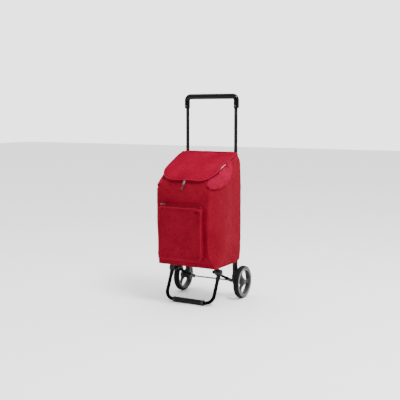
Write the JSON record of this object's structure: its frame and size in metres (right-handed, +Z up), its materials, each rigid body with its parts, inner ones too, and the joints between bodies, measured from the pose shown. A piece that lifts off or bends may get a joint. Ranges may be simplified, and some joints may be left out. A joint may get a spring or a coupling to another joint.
{
  "type": "shopping trolley",
  "caption": "Upright two-wheel shopping trolley with a red fabric bag, flap lid, zipped front pocket, loop grip, folding platform and front leg.",
  "frame": {"origin": "on the floor below the middle of the bounding box", "axes": "+Z up, +X to the trolley's left as its user pulls it from behind (right in a front view), +Y to the back, handle side"},
  "size_m": [0.346, 0.368, 0.9407],
  "materials": {
    "frame_steel": "gloss black powder coat",
    "grip_plastic": "gloss moulded black",
    "bracket_plastic": "satin moulded black",
    "bare_steel": "zinc plated",
    "screw_steel": "blackened steel",
    "tyre_rubber": "matt",
    "hub_plastic": "satin grey moulded",
    "cap_plastic": "satin grey moulded",
    "board_plastic": "pressed board, black",
    "bag_fabric": "coated polyester weave, red",
    "zip_fabric": "woven tape, dark red",
    "webbing": "woven webbing, black",
    "strap_fabric": "woven webbing, light grey",
    "hook_metal": "polished nickel"
  },
  "bodies": {
    "frame": {"upright_left": "frame_steel", "upright_right": "frame_steel", "crossbar_lower": "frame_steel", "crossbar_upper": "frame_steel", "handle_grip": "grip_plastic", "grip_screws": "screw_steel", "axle_bracket_left": "bracket_plastic", "axle_bracket_right": "bracket_plastic", "bracket_screws": "screw_steel", "axle_rod": "bare_steel", "axle_washers": "bare_steel", "axle_push_nuts": "bare_steel", "platform_pins": "bare_steel", "bag_body": "bag_fabric", "front_pocket": "bag_fabric", "pocket_zip_tape": "zip_fabric", "back_loops": "webbing"},
    "wheel_left": {"tyre_left": "tyre_rubber", "hub_left": "hub_plastic", "hub_cap_left": "cap_plastic"},
    "wheel_right": {"tyre_right": "tyre_rubber", "hub_right": "hub_plastic", "hub_cap_right": "cap_plastic"},
    "platform": {"platform_frame": "frame_steel", "base_board": "board_plastic", "board_rivets": "bare_steel", "leg_bracket_left": "bracket_plastic", "leg_bracket_right": "bracket_plastic", "pivot_bolts": "screw_steel"},
    "leg": {"leg_tube": "frame_steel", "leg_knuckle_left": "bracket_plastic", "leg_knuckle_right": "bracket_plastic", "foot_sleeve": "bracket_plastic", "foot_pad_left": "bracket_plastic", "foot_pad_right": "bracket_plastic"},
    "strut_left": {"strut_left": "frame_steel", "strut_hook_left": "bracket_plastic"},
    "strut_right": {"strut_right": "frame_steel", "strut_hook_right": "bracket_plastic"},
    "flap": {"bag_flap": "bag_fabric"},
    "closure": {"closure_strap": "strap_fabric", "snap_hook": "hook_metal"},
    "zip_slider": {"zip_slider": "hook_metal"},
    "zip_pull": {"zip_pull": "hook_metal"}
  },
  "joints": [
    {"name": "wheel_left_spin", "type": "hinge", "parent": "frame", "child": "wheel_left", "pos_m": [-0.155, 0.109, 0.075], "axis": [1, 0, 0], "continuous": true},
    {"name": "wheel_right_spin", "type": "hinge", "parent": "frame", "child": "wheel_right", "pos_m": [0.155, 0.109, 0.075], "axis": [1, 0, 0], "continuous": true},
    {"name": "platform_fold", "type": "hinge", "parent": "frame", "child": "platform", "pos_m": [0, 0.052, 0.177], "axis": [-1, 0, 0], "range_deg": [0, 88], "deforming": ["bag_body", "front_pocket", "pocket_zip_tape"]},
    {"name": "leg_fold", "type": "hinge", "parent": "platform", "child": "leg", "pos_m": [0, -0.048, 0.143], "axis": [1, 0, 0], "range_deg": [0, 105.6]},
    {"name": "strut_left_swing", "type": "hinge", "parent": "platform", "child": "strut_left", "pos_m": [-0.1, -0.048, 0.143], "axis": [1, 0, 0], "range_deg": [0, 22.4]},
    {"name": "strut_right_swing", "type": "hinge", "parent": "platform", "child": "strut_right", "pos_m": [0.1, -0.048, 0.143], "axis": [1, 0, 0], "range_deg": [0, 22.4]},
    {"name": "flap_open", "type": "hinge", "parent": "frame", "child": "flap", "pos_m": [0, 0.0845, 0.6752], "axis": [-1, 0, 0], "range_deg": [0, 100]},
    {"name": "closure_swing", "type": "hinge", "parent": "flap", "child": "closure", "pos_m": [0.008, -0.1555, 0.559], "axis": [0, 1, 0], "range_deg": [-65, 30]},
    {"name": "zip_slide", "type": "slide", "parent": "frame", "child": "zip_slider", "axis": [1, 0, 0], "range_m": [0, 0.176]},
    {"name": "zip_pull_flip", "type": "hinge", "parent": "zip_slider", "child": "zip_pull", "pos_m": [-0.0954, -0.167, 0.4522], "axis": [0, 1, 0], "range_deg": [0, 70]}
  ],
  "couplings": [
    {"joint": "leg_fold", "follows": "platform_fold", "ratio": 1.2},
    {"joint": "strut_left_swing", "follows": "platform_fold", "ratio": 0.2545},
    {"joint": "strut_right_swing", "follows": "platform_fold", "ratio": 0.2545}
  ]
}
